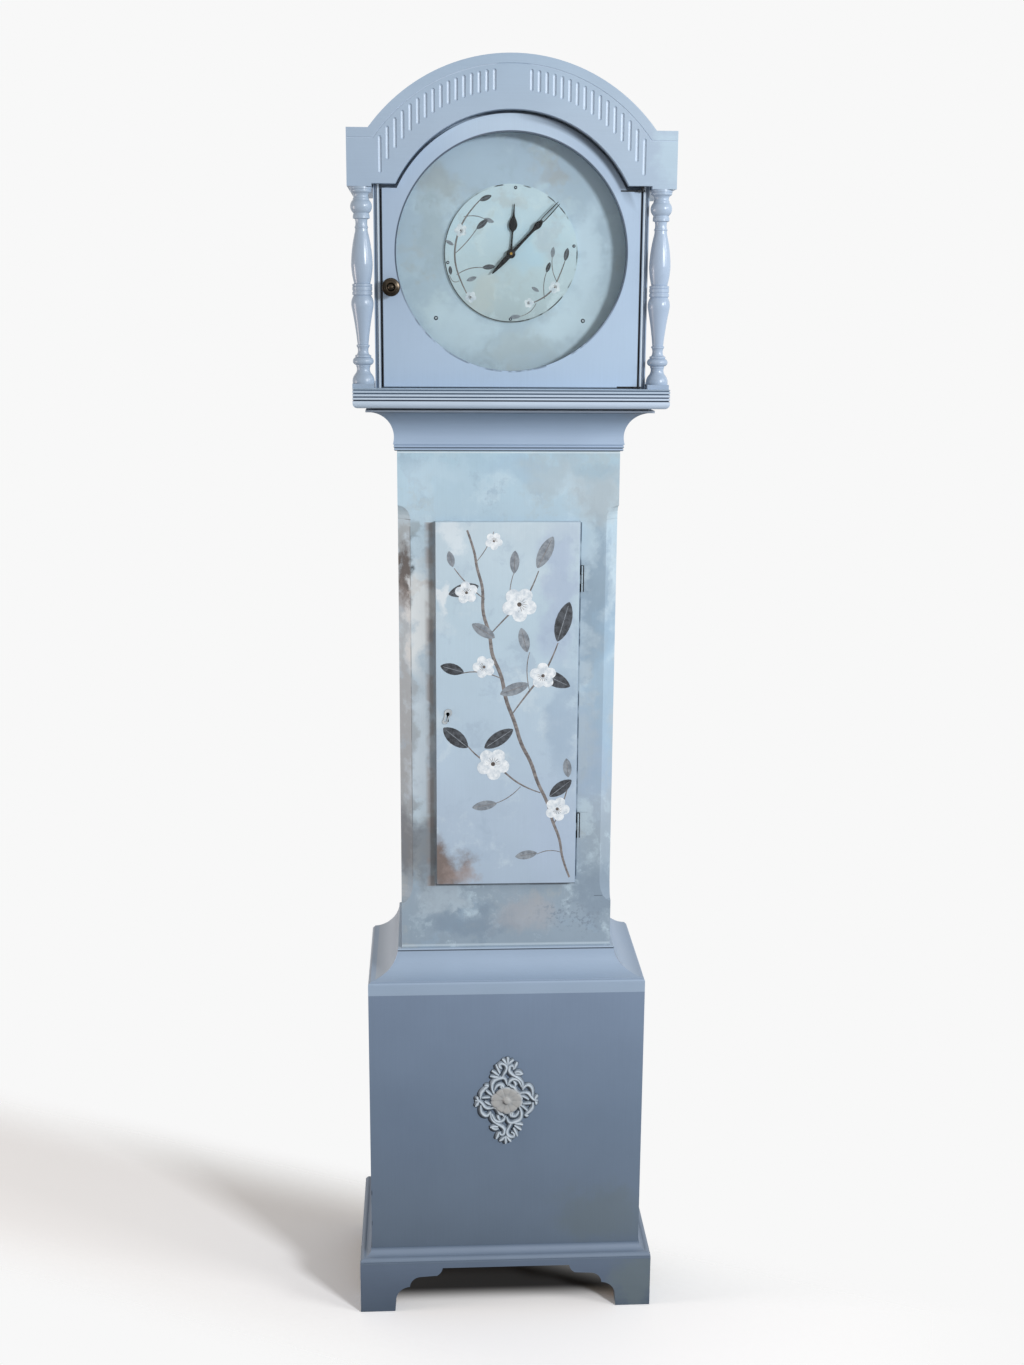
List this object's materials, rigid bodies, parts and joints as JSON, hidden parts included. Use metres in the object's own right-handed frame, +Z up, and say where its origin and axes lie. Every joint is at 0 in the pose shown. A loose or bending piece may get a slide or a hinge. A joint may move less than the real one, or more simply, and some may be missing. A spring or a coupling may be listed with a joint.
{
  "type": "longcase clock",
  "caption": "Painted longcase clock: base on bracket feet, trunk with hinged door, arched hood with turned columns, glazed round dial and pendulum movement.",
  "frame": {"origin": "centre of the clock's floor area, on the floor under the feet", "axes": "+Z up, -Y out of the dial and doors, +X to the right in front view"},
  "size_m": [0.4646, 0.27, 1.9],
  "materials": {
    "hood_paint": "satin blue-grey paint over wood",
    "trunk_paint": "pale mottled blue-grey paint over wood",
    "base_paint": "satin blue-grey paint, darker than the hood",
    "ornament_paint": "pale grey paint on a carved ornament",
    "bare_wood": "unpainted softwood",
    "dial_paint": "matt blue-grey painted dial",
    "dial_screws": "painted over, dulled",
    "glazing": "clear flat glass",
    "bronze": "dark patinated bronze",
    "hinge_iron": "black iron",
    "movement_brass": "satin brass",
    "movement_steel": "polished steel",
    "hand_steel": "black enamelled steel"
  },
  "bodies": {
    "root": {"backboard": "bare_wood", "base_floor": "bare_wood", "base_front": "base_paint", "base_ornament": "ornament_paint", "base_sides": "base_paint", "front_bracket_feet": "base_paint", "side_bracket_feet": "base_paint", "glue_blocks": "bare_wood", "plinth_moulding": "base_paint", "waist_moulding": "base_paint", "throat_moulding": "hood_paint", "trunk_side_left": "trunk_paint", "trunk_side_right": "trunk_paint", "trunk_stiles": "trunk_paint", "trunk_rails": "trunk_paint", "trunk_hinge_frame_leaves": "hinge_iron", "seat_board": "bare_wood", "hood_runners": "bare_wood", "front_plate": "movement_brass", "back_plate": "movement_brass", "movement_pillars": "movement_brass", "back_cock": "movement_brass", "dial_plate": "dial_paint", "dial_disc": "dial_paint", "dial_fixings": "dial_screws"},
    "hood": {"hood_base_rails": "hood_paint", "hood_side_left": "hood_paint", "hood_side_right": "hood_paint", "hood_frieze": "hood_paint", "frieze_returns": "hood_paint", "hood_roof": "hood_paint", "hood_mask": "hood_paint", "column_left": "hood_paint", "column_right": "hood_paint"},
    "hood_door": {"hood_door": "hood_paint", "hood_glass": "glazing", "hood_door_knob": "bronze", "hood_door_pivots": "hinge_iron"},
    "trunk_door": {"trunk_door": "trunk_paint", "trunk_hinge_door_leaves": "hinge_iron", "trunk_lock": "hinge_iron", "escutcheon": "bronze"},
    "lock_bolt": {"lock_bolt": "hinge_iron"},
    "minute_hand": {"minute_hand": "hand_steel", "cannon_pinion": "movement_brass"},
    "hour_hand": {"hour_hand": "hand_steel", "hour_wheel": "movement_brass"},
    "minute_wheel": {"minute_wheel": "movement_brass"},
    "great_wheel": {"great_wheel": "movement_brass"},
    "centre_wheel": {"centre_wheel": "movement_brass"},
    "third_wheel": {"third_wheel": "movement_brass"},
    "escape_wheel": {"escape_wheel": "movement_brass"},
    "anchor": {"anchor": "movement_steel"},
    "pendulum": {"pendulum_rod": "movement_steel", "pendulum_bob": "movement_brass"}
  },
  "joints": [
    {"name": "hood_slide", "type": "slide", "parent": "root", "child": "hood", "axis": [0, -1, 0], "range_m": [0, 0.19]},
    {"name": "hood_door_hinge", "type": "hinge", "parent": "hood", "child": "hood_door", "pos_m": [0.18, -0.105, 1.6], "axis": [0, 0, 1], "range_deg": [0, 105]},
    {"name": "trunk_door_hinge", "type": "hinge", "parent": "root", "child": "trunk_door", "pos_m": [0.1086, -0.065, 0.985], "axis": [0, 0, 1], "range_deg": [0, 110]},
    {"name": "lock_bolt_slide", "type": "slide", "parent": "trunk_door", "child": "lock_bolt", "axis": [-1, 0, 0], "range_m": [0, 0.008]},
    {"name": "minute_hand_turn", "type": "hinge", "parent": "root", "child": "minute_hand", "pos_m": [0, -0.07, 1.641], "axis": [0, 1, 0], "continuous": true},
    {"name": "hour_hand_turn", "type": "hinge", "parent": "root", "child": "hour_hand", "pos_m": [0, -0.07, 1.641], "axis": [0, 1, 0], "continuous": true},
    {"name": "minute_wheel_turn", "type": "hinge", "parent": "root", "child": "minute_wheel", "pos_m": [-0.0288, -0.056, 1.641], "axis": [0, 1, 0], "continuous": true},
    {"name": "escape_wheel_turn", "type": "hinge", "parent": "root", "child": "escape_wheel", "pos_m": [0, -0.016, 1.68106], "axis": [0, 1, 0], "continuous": true},
    {"name": "third_wheel_turn", "type": "hinge", "parent": "root", "child": "third_wheel", "pos_m": [0.014, -0.016, 1.66231], "axis": [0, 1, 0], "continuous": true},
    {"name": "centre_wheel_turn", "type": "hinge", "parent": "root", "child": "centre_wheel", "pos_m": [0, -0.016, 1.641], "axis": [0, 1, 0], "continuous": true},
    {"name": "great_wheel_turn", "type": "hinge", "parent": "root", "child": "great_wheel", "pos_m": [0, -0.016, 1.5994], "axis": [0, 1, 0], "continuous": true},
    {"name": "pendulum_swing", "type": "hinge", "parent": "root", "child": "pendulum", "pos_m": [0, 0.039, 1.70511], "axis": [0, 1, 0], "range_deg": [-3, 3]},
    {"name": "anchor_rock", "type": "hinge", "parent": "root", "child": "anchor", "pos_m": [0, -0.016, 1.70511], "axis": [0, 1, 0], "range_deg": [-3, 3]}
  ],
  "couplings": [
    {"joint": "hour_hand_turn", "follows": "minute_hand_turn", "ratio": 0.083333},
    {"joint": "minute_wheel_turn", "follows": "minute_hand_turn", "ratio": -0.33333},
    {"joint": "third_wheel_turn", "follows": "escape_wheel_turn", "ratio": -0.125},
    {"joint": "centre_wheel_turn", "follows": "escape_wheel_turn", "ratio": 0.016667},
    {"joint": "great_wheel_turn", "follows": "escape_wheel_turn", "ratio": -0.0013889},
    {"joint": "anchor_rock", "follows": "pendulum_swing", "ratio": 1}
  ]
}
